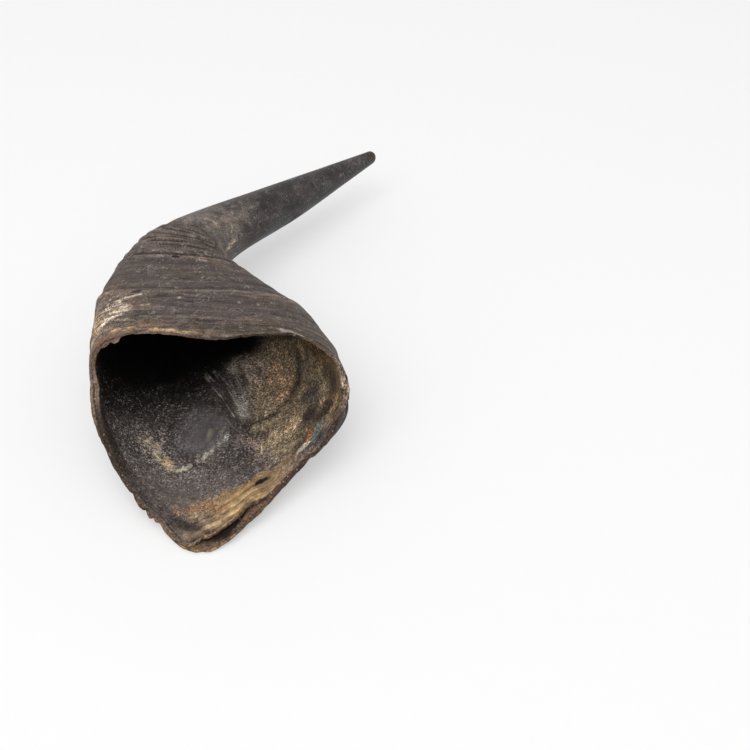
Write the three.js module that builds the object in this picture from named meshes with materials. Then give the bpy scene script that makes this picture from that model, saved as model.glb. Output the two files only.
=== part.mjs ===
// A buffalo's horn sheath: a wide ribbed mouth that lies on its flat belly, a sharp bend, and a
// long smooth spike. The sheath is one shell: an outside skin, a ragged rim and a deep hollow.
// Millimetres, +Z up. The mouth faces -Y, the spike points to +X +Y, and Z 0 is what it rests on.
import * as THREE from "three";

// Sections along the horn, from the mouth (at 0) to the tip (at 1). Each has its middle, the way
// it is heading (degrees from +Y towards +X), its half width, its height over and under the
// middle, how far the lower wall runs out ahead of the crest like a scoop, how far the crest
// leans ahead, how far the belly lies to the right, and how square its four quarters are.
const SECTIONS = [
  { at: 0, x: -3, y: -101, z: 45, heading: 2, half: 76, up: 46, down: 46.2, scoop: 82.5,
    lean: -1, belly: -8, crestL: 3.1, crestR: 2.8, lowL: 2, lowR: 2 },
  { at: 0.16, x: -12.5, y: -61.5, z: 45, heading: 2.5, half: 72.5, up: 38.5, down: 48, scoop: 52,
    lean: 10, belly: 1, crestL: 2.8, crestR: 2.4, lowL: 2.3, lowR: 3 },
  { at: 0.3, x: -25.5, y: -24, z: 44, heading: 3, half: 61, up: 34, down: 48, scoop: 28,
    lean: 15, belly: 13, crestL: 2.7, crestR: 2.4, lowL: 2.3, lowR: 3.5 },
  { at: 0.44, x: -39, y: 12, z: 42.5, heading: 8, half: 39.5, up: 30.5, down: 47, scoop: 10,
    lean: 5.5, belly: 16, crestL: 2.4, crestR: 2.3, lowL: 2.3, lowR: 4 },
  { at: 0.54, x: -38.5, y: 35.5, z: 42, heading: 24, half: 31, up: 24.5, down: 44.5, scoop: 0,
    lean: 0, belly: 11, crestL: 2.1, crestR: 2.1, lowL: 2.3, lowR: 3.2 },
  { at: 0.63, x: -30.5, y: 56.5, z: 41, heading: 37, half: 21.5, up: 21, down: 25, scoop: 0,
    lean: 0, belly: 0, crestL: 2, crestR: 2, lowL: 2, lowR: 2 },
  { at: 0.8, x: 24.5, y: 114, z: 38, heading: 41, half: 13.5, up: 13.5, down: 16, scoop: 0,
    lean: 0, belly: 0, crestL: 2, crestR: 2, lowL: 2, lowR: 2 },
  { at: 1, x: 82.5, y: 177.5, z: 34, heading: 41, half: 4.5, up: 5, down: 5.5, scoop: 0,
    lean: 0, belly: 0, crestL: 2, crestR: 2, lowL: 2, lowR: 2 },
];
const TIP_LENGTH = 5; // the rounded end past the last section
const SCOOP_POWER = { left: 0.68, right: 0.76 }; // how the rim sweeps down to the front lip
const SCOOP_ROUND = 0.23; // how round the front lip is, seen from above
const SCOOP_VEE = 0.44; // how much of the mouth's lower half is a vee

// The broken rim waves ahead of and behind its plain sweep. Each wave has its place round the rim
// in degrees (0 the right side, 90 the crest, 180 the left side, 270 the belly) and its spread.
const RIM_WAVES = [
  { angle: 20, spread: 12, size: 2 },
  { angle: 58, spread: 11, size: -3 },
  { angle: 90, spread: 19, size: 6.5 },
  { angle: 140, spread: 18, size: -2 },
  { angle: 226, spread: 9, size: 1 },
  { angle: 254, spread: 9, size: -3 },
  { angle: 312, spread: 11, size: -4 },
  { angle: 333, spread: 10, size: 5 },
];
const RIM_REACH = 0.14; // how far along the horn the rim's own shape and wall fade out
const RIM_THIN = 2.6; // the wall at the rim's thin places, and how much thicker it is elsewhere
const RIM_THICK = [
  { angle: 28, spread: 22, size: 3.8 },
  { angle: 185, spread: 28, size: 1.6 },
  { angle: 283, spread: 36, size: 4 },
];
const RAGGED = 0.5; // small teeth of the broken edge
const BODY_WALL = 4.2;

// The hollow: it narrows from one place along the horn and ends at another.
const HOLLOW_NARROWS = 0.5;
const HOLLOW_ENDS = 0.76;
const HOLLOW_TIP = 0.6; // half width left at its end

// The split in the front lip, between two layers of the wall.
const SPLIT = { from: 258, to: 304, fade: 7, depth: 9, setBack: 4.5 };
const LAYERS = [
  { share: 0, gap: 0, step: 0 },
  { share: 0.34, gap: 0, step: 0 },
  { share: 0.5, gap: 1, step: 0 },
  { share: 0.66, gap: 0, step: 1 },
];

// Ledges step down towards the tip, each with a bell-shaped stretch of horn ahead of it, and
// fine ribs crowd together round the bend.
const SKIN_DROP = { depth: 0.7, from: 0.6, to: 0.55 }; // the skin between ledges lies this low
const LEDGES = [
  { at: 0.404, height: 1.7, bell: 0.05, edge: 0.005 },
  { at: 0.268, height: 1.5, bell: 0.045, edge: 0.006 },
  { at: 0.115, height: 0.8, bell: 0.03, edge: 0.005 },
];
const RIBS = [0.428, 0.446, 0.464, 0.482, 0.5, 0.519, 0.54];
const RIB = { height: 0.8, width: 0.0062, spacing: 0.018 };

const COLUMNS = 48;
const REST_HEIGHT = 0; // the belly is worn flat at this height
const BELLY_WALL = 0.85; // the least share of the wall that is left over the flat
const DEGREE = Math.PI / 180;

const clamp = (value) => Math.min(1, Math.max(0, value));
const smooth = (value) => clamp(value) ** 2 * (3 - 2 * clamp(value));

// One measure of the sections at any place along the horn, on a smooth curve through all of them.
function measure(name, at) {
  const last = SECTIONS.length - 1;
  let i = 0;
  while (i < last - 1 && at >= SECTIONS[i + 1].at) i++;
  const slope = (k) => {
    const [a, b] = [SECTIONS[Math.max(k - 1, 0)], SECTIONS[Math.min(k + 1, last)]];
    return (b[name] - a[name]) / (b.at - a.at);
  };
  const [p, q] = [SECTIONS[i], SECTIONS[i + 1]];
  const step = q.at - p.at;
  const s = (at - p.at) / step;
  return (
    (2 * s ** 3 - 3 * s ** 2 + 1) * p[name] + (s ** 3 - 2 * s ** 2 + s) * step * slope(i) +
    (3 * s ** 2 - 2 * s ** 3) * q[name] + (s ** 3 - s ** 2) * step * slope(i + 1)
  );
}

// The sum of rounded waves at one angle around the rim.
function waves(list, angle) {
  return list.reduce((sum, wave) => {
    const away = ((angle / DEGREE - wave.angle + 540) % 360) - 180;
    return sum + wave.size * Math.exp(-((away / wave.spread) ** 2));
  }, 0);
}

// How far ledges and ribs lift the skin.
function relief(at) {
  const { depth, from, to } = SKIN_DROP;
  let lift = -depth * clamp((from - at) / (from - to));
  for (const { at: edgeAt, height, bell, edge } of LEDGES) {
    lift += height * Math.exp(-Math.abs(at - edgeAt) / (at < edgeAt ? bell : edge));
  }
  for (const rib of RIBS) lift += RIB.height * Math.exp(-(((at - rib) / RIB.width) ** 2));
  return lift;
}

function wall(at, angle) {
  const rim = RIM_THIN + waves(RIM_THICK, angle);
  const body = BODY_WALL + (rim - BODY_WALL) * (1 - clamp(at / RIM_REACH));
  const narrow = clamp((at - HOLLOW_NARROWS) / (HOLLOW_ENDS - HOLLOW_NARROWS));
  const radius = Math.min(measure("half", at), measure("up", at));
  return body + (radius - HOLLOW_TIP - body) * narrow;
}

const inSplit = (angle) => {
  const { from, to, fade } = SPLIT;
  return smooth((angle / DEGREE - from) / fade) * smooth((to - angle / DEGREE) / fade);
};

// A point of the skin: angle 0 is the right side, 90 the crest, 180 the left side, 270 the belly.
// It is moved out by lift, in by inset, and back from the rim by setBack.
function skin(at, angle, { lift = 0, inset = 0, setBack = 0 } = {}) {
  const size = (name) => measure(name, at);
  const [c, s] = [Math.cos(angle), Math.sin(angle)];
  const [over, left] = [s >= 0, c < 0];
  const power = size((over ? "crest" : "low") + (left ? "L" : "R"));
  const r = (Math.abs(c) ** power + Math.abs(s) ** power) ** (-1 / power);
  const flat = Math.hypot(1, SCOOP_ROUND);
  const low = over ? 0 : clamp((flat - Math.hypot(c, SCOOP_ROUND)) / (flat - SCOOP_ROUND));
  const vee = SCOOP_VEE * clamp(size("scoop") / SECTIONS[0].scoop) ** 2;
  let x = size("half") * r * c + size("belly") * low;
  let z = over ? size("up") * r * s : -size("down") * ((1 - vee) * -s * r + vee * low);
  const scale = 1 + (lift - inset) / Math.hypot(x, z);
  x *= scale;
  z *= scale;
  const teeth = RAGGED * (Math.sin(17 * angle) + Math.sin(26 * angle + 1));
  const ahead =
    size("scoop") * low ** (left ? SCOOP_POWER.left : SCOOP_POWER.right) +
    size("lean") * (over ? (s * r) ** 2 : 0) +
    (waves(RIM_WAVES, angle) + teeth) * clamp(1 - at / RIM_REACH) ** 2 - setBack;
  const heading = size("heading") * DEGREE;
  return [
    size("x") + x * Math.cos(heading) - ahead * Math.sin(heading),
    size("y") - x * Math.sin(heading) - ahead * Math.cos(heading),
    size("z") + z,
  ];
}

// A ring of points, one for each column.
function ring(pointAt) {
  return Array.from({ length: COLUMNS }, (_, k) => pointAt((k / COLUMNS) * 2 * Math.PI));
}

const spread = (from, to, count) =>
  Array.from({ length: count }, (_, k) => from + ((to - from) * k) / (count - 1));

// Where the outside has its rings: close together at ledges and ribs, and wider elsewhere.
function outsidePlaces() {
  const places = [...spread(0, 0.39, 17), ...spread(0.56, 1, 12)];
  for (const { at, edge } of LEDGES) places.push(at - 2 * edge, at, at + 1.5 * edge);
  for (const rib of RIBS) {
    for (const quarter of [-2, -1, 0, 1]) places.push(rib + (quarter * RIB.spacing) / 4);
  }
  places.sort((a, b) => a - b);
  return places.filter((place, k) => k === 0 || place - places[k - 1] > 0.003);
}

// The rings in order: from the tip to the mouth outside, over the rim, and down into the hollow.
function rings() {
  const outside = outsidePlaces().reverse();
  const end = ring((angle) => skin(1, angle));
  const heading = SECTIONS.at(-1).heading * DEGREE;
  const middle = [measure("x", 1), measure("y", 1), measure("z", 1)];
  const tip = (share) => {
    const [wide, far] = [Math.cos(share * 90 * DEGREE), Math.sin(share * 90 * DEGREE)];
    const push = [Math.sin(heading) * TIP_LENGTH * far, Math.cos(heading) * TIP_LENGTH * far, 0];
    return end.map((point) => point.map((v, k) => middle[k] + (v - middle[k]) * wide + push[k]));
  };
  const rows = [tip(0.8), tip(0.55), tip(0.28)];
  for (const at of outside.slice(0, -1)) {
    rows.push(ring((angle) => rest(skin(at, angle, { lift: relief(at) }))));
  }
  for (const { share, gap, step } of LAYERS) {
    rows.push(ring((angle) => {
      const lift = relief(0) * (1 - share);
      const inset = share * wall(0, angle);
      const setBack = inSplit(angle) * (gap * SPLIT.depth + step * SPLIT.setBack);
      return rest(skin(0, angle, { lift, inset, setBack }), inset);
    }));
  }
  const inside = [0, 0.012, 0.03, 0.06, 0.1, ...spread(0.15, HOLLOW_ENDS, 16)];
  for (const at of inside) {
    const fade = 1 - clamp(at / RIM_REACH);
    rows.push(ring((angle) => {
      const inset = wall(at, angle);
      const setBack = inSplit(angle) * SPLIT.setBack * fade;
      return rest(skin(at, angle, { inset, setBack }), inset);
    }));
  }
  return { rows, first: tipPoint(heading, middle), last: centre(rows.at(-1)) };
}

const tipPoint = (heading, [x, y, z]) => [
  x + TIP_LENGTH * Math.sin(heading), y + TIP_LENGTH * Math.cos(heading), z,
];
const centre = (points) =>
  [0, 1, 2].map((k) => points.reduce((sum, point) => sum + point[k], 0) / points.length);
const rest = ([x, y, z], inset = 0) => [x, y, Math.max(z, REST_HEIGHT + BELLY_WALL * inset)];

// One closed skin over all the rings, with a point at each end.
function shell({ rows, first, last }) {
  const points = [...rows.flat(), first, last];
  const [firstIndex, lastIndex] = [points.length - 2, points.length - 1];
  const lastRow = (rows.length - 1) * COLUMNS;
  const faces = [];
  for (let k = 0; k < COLUMNS; k++) {
    const next = (k + 1) % COLUMNS;
    faces.push(firstIndex, next, k, lastIndex, lastRow + k, lastRow + next);
    for (let row = 0; row < lastRow; row += COLUMNS) {
      const [a, b, c, d] = [row + k, row + next, row + COLUMNS + next, row + COLUMNS + k];
      faces.push(a, c, d, a, b, c);
    }
  }
  const geometry = new THREE.BufferGeometry();
  geometry.setAttribute("position", new THREE.Float32BufferAttribute(points.flat(), 3));
  geometry.setIndex(faces);
  geometry.computeVertexNormals();
  return geometry;
}

const keratin = new THREE.MeshStandardMaterial({ color: 0x4a423c, roughness: 0.62, metalness: 0 });
const horn = new THREE.Mesh(shell(rings()), keratin);
horn.name = "horn";

const part = new THREE.Group();
part.add(horn);
export default part;
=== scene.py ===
"""A buffalo's horn sheath on a pale floor: wide broken mouth, crowded ribs round the bend, smooth spike."""
import math
import bpy
import numpy as np
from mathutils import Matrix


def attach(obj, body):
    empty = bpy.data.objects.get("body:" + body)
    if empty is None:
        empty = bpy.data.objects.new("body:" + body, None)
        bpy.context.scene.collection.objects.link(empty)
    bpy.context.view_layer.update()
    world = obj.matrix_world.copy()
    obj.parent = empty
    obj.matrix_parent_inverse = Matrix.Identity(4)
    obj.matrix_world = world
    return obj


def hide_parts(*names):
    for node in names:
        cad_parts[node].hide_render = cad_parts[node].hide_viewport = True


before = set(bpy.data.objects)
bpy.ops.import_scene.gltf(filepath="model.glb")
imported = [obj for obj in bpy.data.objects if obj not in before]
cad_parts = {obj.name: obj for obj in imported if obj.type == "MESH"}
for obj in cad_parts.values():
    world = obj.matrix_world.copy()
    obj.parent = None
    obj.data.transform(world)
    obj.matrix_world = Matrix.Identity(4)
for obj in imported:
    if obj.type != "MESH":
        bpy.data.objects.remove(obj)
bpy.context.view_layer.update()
MM = 0.001
DEGREE = math.pi / 180

# ------------------------------------------------------------------ measures, in millimetres
# Sections along the horn, from the mouth at 0 to the tip at 1: the middle, the heading in degrees
# from +Y towards +X, the half width, the height over and under the middle, how far the lower wall
# runs ahead of the crest, how far the crest leans ahead, how far the belly lies to the right, and
# how square the four quarters are.
SECTIONS = {
    "at": [0, 0.16, 0.3, 0.44, 0.54, 0.63, 0.8, 1],
    "x": [-3, -12.5, -25.5, -39, -38.5, -30.5, 24.5, 82.5],
    "y": [-101, -61.5, -24, 12, 35.5, 56.5, 114, 177.5],
    "z": [45, 45, 44, 42.5, 42, 41, 38, 34],
    "heading": [2, 2.5, 3, 8, 24, 37, 41, 41],
    "half": [76, 72.5, 61, 39.5, 31, 21.5, 13.5, 4.5],
    "up": [46, 38.5, 34, 30.5, 24.5, 21, 13.5, 5],
    "down": [46.2, 48, 48, 47, 44.5, 25, 16, 5.5],
    "scoop": [82.5, 52, 28, 10, 0, 0, 0, 0],
    "lean": [-1, 10, 15, 5.5, 0, 0, 0, 0],
    "belly": [-8, 1, 13, 16, 11, 0, 0, 0],
    "crest_left": [3.1, 2.8, 2.7, 2.4, 2.1, 2, 2, 2],
    "crest_right": [2.8, 2.4, 2.4, 2.3, 2.1, 2, 2, 2],
    "low_left": [2, 2.3, 2.3, 2.3, 2.3, 2, 2, 2],
    "low_right": [2, 3, 3.5, 4, 3.2, 2, 2, 2],
}
SECTIONS = {name: np.array(values, float) for name, values in SECTIONS.items()}
TIP_LENGTH, SPIKE_FROM = 5, 0.62
# The scoop: how blunt its left and right are (less is blunter), how round its lowest line is, and
# how far its section narrows to a vee at the mouth.
SCOOP_POWER_LEFT, SCOOP_POWER_RIGHT, SCOOP_ROUND, SCOOP_VEE = 0.68, 0.76, 0.23, 0.44

# Waves of the broken rim: place round the rim in degrees (0 right, 90 crest, 180 left, 270 belly),
# spread in degrees, and size. They fade out at RIM_REACH, and so does the rim's own wall, which is
# RIM_THIN and the waves of RIM_THICK.
RIM_WAVES = [(20, 12, 2), (58, 11, -3), (90, 19, 6.5), (140, 18, -2), (226, 9, 1), (254, 9, -3),
             (312, 11, -4), (333, 10, 5)]
RIM_REACH, RIM_THIN, RIM_THICK = 0.14, 2.6, [(8, 20, 3.6), (177, 27, 2.6), (283, 36, 4)]
# The wall behind the rim, its share where it rests on the floor, where the hollow starts to narrow
# and where it ends, and how wide it still is there.
BODY_WALL, BELLY_WALL = 4.2, 0.85
HOLLOW_NARROWS, HOLLOW_ENDS, HOLLOW_TIP = 0.5, 0.76, 0.6

# The split between two layers of the front lip: where it runs and fades, in degrees, how deep it
# is, and how far back the inner layer has broken, with how jagged an edge.
SPLIT_FROM, SPLIT_TO, SPLIT_FADE = 266, 302, 10
SPLIT_DEPTH, SPLIT_BACK, SPLIT_JAGS = 5, 8, 3.2

# Ledges: place, height, length of the bell ahead, length of the step behind. Ribs: place. The
# ledges' bow over the crest is a wave. SKIN_DROP lowers the body that they all stand on.
LEDGES = [(0.404, 1.7, 0.05, 0.004), (0.268, 1.5, 0.045, 0.005), (0.115, 0.8, 0.03, 0.004)]
RIBS = [0.428, 0.446, 0.464, 0.482, 0.5, 0.519, 0.54]
RIB_HEIGHT, RIB_WIDTH, RIB_WANDER = 0.9, 0.0055, 0.003
LEDGE_BOW = (92, 50, 0.013)
SKIN_DROP = 0.7
# Swellings of the skin: place, its spread, angle, its spread, height.
SWELLS = [(0.065, 0.05, 335, 13, 7.5), (0, 0.07, 203, 22, 2.6), (0.245, 0.05, 45, 34, 1.7),
          (0.315, 0.012, 47, 30, -0.7)]
# Small holes and nicks: place, angle, half length as a share, half width in degrees.
HOLES, HOLE_DEPTHS = [(0.387, 92.5, 0.0045, 2.9), (0.785, 336, 0.005, 10)], [0.5, 1.6]
# Fine relief: its height, and how far its repeats are apart along the horn.
LINES_HIGH, RINGS_HIGH, FIBRES_HIGH, WRINKLES_HIGH = 0.26, 0.3, 0.08, 1.1
LINES_APART, RINGS_APART, FIBRES_APART, WRINKLES_APART = 1.5, 4.2, 0.9, 3.6
FLAKES_DEEP, FLAKES_APART, DENTS_DEEP, DENTS_APART = 0.5, 5, 0.3, 26
LINES_WANDER, LINES_TREMBLE = 2.6, 0.4
RIDGES_HIGH, RIDGES_APART, BUMPS_HIGH, BUMPS_APART, THREADS_HIGH = 0.35, 7, 0.3, 9, 0.12
FACE_LUMPS, FACE_GRIT = 0.9, 0.6
# Behind the great ledge runs a crack, and along the ledge a worn edge: the middle, half width and
# reach of each, where the whole length of the horn counts as MARKS_LENGTH. OFF_MARKS is past both.
MARKS_LENGTH, OFF_MARKS = 400, 99
CRACK, WORN_EDGE = (3.8, 1.6, 3.4), (0, 0.3, 0.9)
# How far the pattern of rings moves on from the skin, through the wall, to the hollow.
RINGS_STEP = 7

# Columns round the horn, drawn together at the lip, rows of the tip, and rows along the outside
# and the hollow as (from, to, count).
COLUMNS, CROWD_AT_LIP, TIP_ROWS = 384, 0.3, 7
OUTSIDE_SPANS = [(1, 0.6, 26), (0.6, 0.425, 38), (0.425, 0.385, 18), (0.385, 0.14, 56), (0.14, 0, 32)]
HOLLOW_SPANS = [(0, 0.02, 4), (0.02, 0.16, 26), (0.16, 0.5, 30), (0.5, 0.76, 7)]
# Rows of the rim: share through the wall, how far they lie back on the shelf that the broken
# inner layer leaves, and how far down in the crack under it.
RIM_ROWS = [(0, 0, 0), (0.1, 0, 0), (0.24, 0, 0), (0.32, 0.1, 0), (0.36, 0.4, 0), (0.38, 0.7, 0),
            (0.4, 0.96, 0), (0.42, 1, 0.6), (0.46, 1, 1), (0.51, 1, 0.9), (0.54, 1, 0.2), (0.58, 1, 0),
            (0.7, 1, 0), (0.86, 1, 0)]

# The broken edge: height of its teeth, how far in they reach, how round its corners are, and
# where its face is lumpier and its teeth smoother, its chips and its inward curl as waves.
TEETH, RAGGED_REACH, EDGE_ROUND = 1.5, 0.035, 0.5
LUMPY, SMOOTHER = (8, 26, 2), (243, 22, 0.75)
CHIPS = [(282, 9, 3.2), (252.5, 1.8, -2), (236.5, 1.1, -2), (241, 2, 0.8), (244.5, 0.8, -1.8),
         (247, 1, 0.9), (249, 0.8, -1.4), (205, 1.5, -0.9), (318, 1.6, -1.2), (352, 1.4, -0.9),
         (28, 2, -0.8)]
CURLS, CURL_REACH = [(338, 12, 2.5)], 0.05
# Where the inner layer has peeled inwards, as waves.
PEELS, PEEL_REACH = [(134.5, 3, 3.2), (141, 3, 1.8)], 0.03

# ------------------------------------------------------------------ view and light
# Places and sizes in metres, the tilt in degrees, the lens in millimetres, the power in watts.
CAMERA_PLACE, CAMERA_TILT, LENS = (0.0867, -0.5699, 0.480), 48, 52.8
LAMP_PLACE, LAMP_AIM, LAMP_SIZE, LAMP_POWER = (-0.35, -1.1, 2.1), (0, -0.03, 0.03), 2.2, 31
SURROUND, FLOOR_TONE, FLOOR_GLOW = 0.7, 0.54, 0.385
FLOOR_HALF, FLOOR_GAP = 4, 0.0002


# ------------------------------------------------------------------ small tools for whole arrays
def smooth(values):
    """0 to 1 with soft ends: 3v^2 - 2v^3 of the values held between 0 and 1."""
    held = np.clip(values, 0, 1)
    return held * held * (3 - 2 * held)


def window(values, low, high, fade):
    """1 between low and high, and 0 past them, with soft edges as wide as fade."""
    return smooth((values - low) / fade + 0.5) * smooth((high - values) / fade + 0.5)


# Large numbers that scatter a whole place and a seed into a value that looks random.
HASH = (73856093, 19349663, 83492791)
HASH_SEED, HASH_AGAIN, HASH_BITS = 2654435761, 1274126177, 0x7FFFFFFF


def lattice(points, seed):
    """Value noise from -1 to 1: random values at whole places, blended by 3s^2 - 2s^3 between them."""
    cell = np.floor(points).astype(np.int64)
    part = points - cell
    part = part * part * (3 - 2 * part)
    total = np.zeros(points.shape[:-1])
    for corner in np.ndindex(2, 2, 2):
        x, y, z = np.moveaxis((cell + np.array(corner)) * HASH, -1, 0)
        mixed = (x ^ y ^ z ^ seed * HASH_SEED) & HASH_BITS
        mixed = (mixed ^ (mixed >> 13)) * HASH_AGAIN & HASH_BITS
        value = (mixed >> 7 & 0xFFFF) / 32767.5 - 1
        share = np.where(np.array(corner) == 1, part, 1 - part).prod(-1)
        total += value * share
    return total


def grain(points, seed, octaves=3):
    """Octaves of lattice noise, each twice as fine and half as strong as the one before."""
    total = 0
    for octave in range(octaves):
        total = total + lattice(points * 2 ** octave + 17.3 * octave, seed + octave) / 2 ** octave
    return total / (2 - 2 ** (1 - octaves))


def stack(*parts):
    """Joins arrays of any matching shapes as the last axis."""
    return np.stack(np.broadcast_arrays(*parts), -1)


def wrapped(angle, turns, along):
    """Places for noise: a closed loop round the horn, so that a pattern meets itself, and a
    measure along it."""
    return stack(np.cos(angle) * turns, np.sin(angle) * turns, along)


def fading(at, reach):
    """1 at the mouth, falling evenly to 0 at reach along the horn."""
    return np.clip(1 - at / reach, 0, 1)


def waves(angle, bumps):
    """The sum of bell curves around the horn, each size * exp(-(degrees away / spread)^2)."""
    total = 0
    for place, spread, size in bumps:
        away = (angle / DEGREE - place + 180) % 360 - 180
        total = total + size * np.exp(-(away / spread) ** 2)
    return total


# ------------------------------------------------------------------ the horn's form
def measure(name, at):
    """A section measure at any place: a cubic curve through all sections, with slopes that join
    each section's two neighbours."""
    places, values = SECTIONS["at"], SECTIONS[name]
    slopes = np.empty(len(places))
    slopes[1:-1] = (values[2:] - values[:-2]) / (places[2:] - places[:-2])
    slopes[[0, -1]] = (values[[1, -1]] - values[[0, -2]]) / (places[[1, -1]] - places[[0, -2]])
    i = np.clip(np.searchsorted(places, at, side="right") - 1, 0, len(places) - 2)
    step = places[i + 1] - places[i]
    s = (at - places[i]) / step
    return ((2 * s ** 3 - 3 * s ** 2 + 1) * values[i] + (s ** 3 - 2 * s ** 2 + s) * step * slopes[i]
            + (3 * s ** 2 - 2 * s ** 3) * values[i + 1] + (s ** 3 - s ** 2) * step * slopes[i + 1])


def main_relief(at, angle):
    """Ledges, each a bell that grows towards its step and falls off behind it, and round ribs that
    swell and thin around the horn. Over the crest the ledges bow a little towards the mouth."""
    lift = -SKIN_DROP * np.clip((0.6 - at) / 0.05, 0, 1)
    bowed = at + waves(angle, [LEDGE_BOW])
    for place, height, bell, edge in LEDGES:
        lift = lift + height * np.exp(-np.abs(bowed - place) / np.where(bowed < place, bell, edge))
    for rib in RIBS:
        moved = at - rib + RIB_WANDER * lattice(wrapped(angle, 1.5, rib * 90), 37)
        swell = 1 + 0.5 * lattice(wrapped(angle, 2.2, rib * 70), 39)
        lift = lift + RIB_HEIGHT * swell * np.exp(-(moved / RIB_WIDTH) ** 2)
    return lift


def wall(at, angle):
    """The wall's thickness: the rim's own near the mouth, even in the body, and all of it past
    the end of the hollow."""
    rim = RIM_THIN + waves(angle, RIM_THICK)
    body = BODY_WALL + (rim - BODY_WALL) * fading(at, RIM_REACH)
    narrow = np.clip((at - HOLLOW_NARROWS) / (HOLLOW_ENDS - HOLLOW_NARROWS), 0, 1)
    radius = np.minimum(measure("half", at), measure("up", at))
    return body + (radius - HOLLOW_TIP - body) * narrow


def split(angle):
    """1 along the split in the front lip, with soft ends."""
    degrees = angle / DEGREE
    return smooth((degrees - SPLIT_FROM) / SPLIT_FADE) * smooth((SPLIT_TO - degrees) / SPLIT_FADE)


def skin(at, angle, lift=0, inset=0, back=0, floor=0):
    """A point of the horn in millimetres. Its section is a circle whose quarters are squared by
    r = (|cos|^n + |sin|^n)^(-1/n), stretched to the section's measures, moved out by lift and in
    by inset. Its lower half runs ahead like a scoop, and the belly is worn flat at floor."""
    size = {name: measure(name, at) for name in SECTIONS if name != "at"}
    c, s = np.cos(angle), np.sin(angle)
    over, left = s >= 0, c < 0
    power = np.where(over, np.where(left, size["crest_left"], size["crest_right"]),
                     np.where(left, size["low_left"], size["low_right"]))
    r = (np.abs(c) ** power + np.abs(s) ** power) ** (-1 / power)
    flat = math.hypot(1, SCOOP_ROUND)
    low = np.clip((flat - np.hypot(c, SCOOP_ROUND)) / (flat - SCOOP_ROUND), 0, 1)
    low = np.where(over, 0, low)
    vee = SCOOP_VEE * np.clip(size["scoop"] / SECTIONS["scoop"][0], 0, 1) ** 2
    x = size["half"] * r * c + size["belly"] * low
    z = np.where(over, size["up"] * r * s, -size["down"] * ((1 - vee) * -s * r + vee * low))
    scale = 1 + (lift - inset) / np.hypot(x, z)
    x, z = x * scale, z * scale
    ahead = size["scoop"] * low ** np.where(left, SCOOP_POWER_LEFT, SCOOP_POWER_RIGHT)
    ahead = ahead + size["lean"] * np.where(over, (s * r) ** 2, 0)
    ahead = ahead + waves(angle, RIM_WAVES) * fading(at, RIM_REACH) ** 2 - back
    heading = size["heading"] * DEGREE
    return stack(size["x"] + x * np.cos(heading) - ahead * np.sin(heading),
                 size["y"] - x * np.sin(heading) - ahead * np.cos(heading),
                 np.maximum(size["z"] + z, floor))


def length_along(at):
    """How far a place is from the mouth along the middle of the horn, in millimetres."""
    places = np.linspace(0, 1, 401)
    middle = stack(measure("x", places), measure("y", places), measure("z", places))
    steps = np.linalg.norm(np.diff(middle, axis=0), axis=1)
    return np.interp(at, places, np.concatenate([[0], np.cumsum(steps)]))


def line_place(at, angle):
    """Where a point is along the horn as its growth lines count it, in millimetres: the length
    from the mouth, moved back and forth by soft noise so that no line runs quite straight."""
    far = length_along(at)
    tremble = lattice(wrapped(angle, 7, far / 9), 5)
    return far + LINES_WANDER * grain(wrapped(angle, 1.3, far / 40), 3) + LINES_TREMBLE * tremble


def hole_reach(at, angle):
    """For each small hole, how far each point is from its middle, squared, where 1 is its edge."""
    return [((at - place) / along) ** 2 + ((angle / DEGREE - turn) / across) ** 2
            for place, turn, along, across in HOLES]


def fine_relief(at, angle):
    """Growth lines that wander and fade, crowded wrinkles on the bend, broken flakes on the body,
    shallow dents and the small holes."""
    place = line_place(at, angle)
    body = smooth((SPIKE_FROM - at) / 0.08)
    crowd = window(at, 0.405, 0.565, 0.02)
    strength = 0.5 + 0.5 * lattice(wrapped(angle, 2.1, place / 25), 7)
    lines = lattice(wrapped(angle, 0.8, place / LINES_APART), 11)
    rings = lattice(wrapped(angle, 0.9, place / RINGS_APART), 13)
    fibres = lattice(wrapped(angle, 9, place / FIBRES_APART), 17)
    lift = body * (LINES_HIGH * lines * strength + RINGS_HIGH * rings + FIBRES_HIGH * fibres)
    wrinkles = 1 - np.abs(lattice(wrapped(angle, 1.2, place / WRINKLES_APART), 12))
    lift = lift + crowd * (WRINKLES_HIGH * wrinkles ** 2 + 0.2 * lines)
    flakes = grain(wrapped(angle, 4, place / FLAKES_APART), 19)
    lift = lift - FLAKES_DEEP * body * smooth((flakes - 0.32) / 0.12) * smooth((0.36 - at) / 0.05)
    dents = grain(wrapped(angle, 2.5, place / DENTS_APART), 23)
    lift = lift + DENTS_DEEP * dents * smooth((1.05 - at) / 0.2)
    for depth, away in zip(HOLE_DEPTHS, hole_reach(at, angle)):
        lift = lift - depth * np.exp(-away ** 2)
    return lift


def grooves(lift):
    """How far each point lies under the mean of its neighbours along the horn, in millimetres."""
    reach = 4
    padded = np.pad(lift, ((reach, reach), (0, 0)), mode="edge")
    mean = sum(padded[k:k + len(lift)] for k in range(2 * reach + 1)) / (2 * reach + 1)
    return mean - lift


def ragged(angle):
    """Teeth and chips of the broken edge: noise along the rim, and the named chips."""
    fine = 0.8 * grain(wrapped(angle, 30, 1.5), 33, 2) * (1 - waves(angle, [SMOOTHER]))
    return TEETH * (0.7 * grain(wrapped(angle, 9, 0.5), 31, 3) + fine) + waves(angle, CHIPS)


def edge_shift(at, angle):
    """How far the broken edge stands back of the plain mouth. It fades a few millimetres in."""
    return -ragged(angle) * fading(at, RAGGED_REACH) ** 2


def curl(at, angle):
    """How far the edge curls inwards: bell curves around the rim that fade along the horn."""
    return waves(angle, CURLS) * fading(at, CURL_REACH) ** 2


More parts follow.
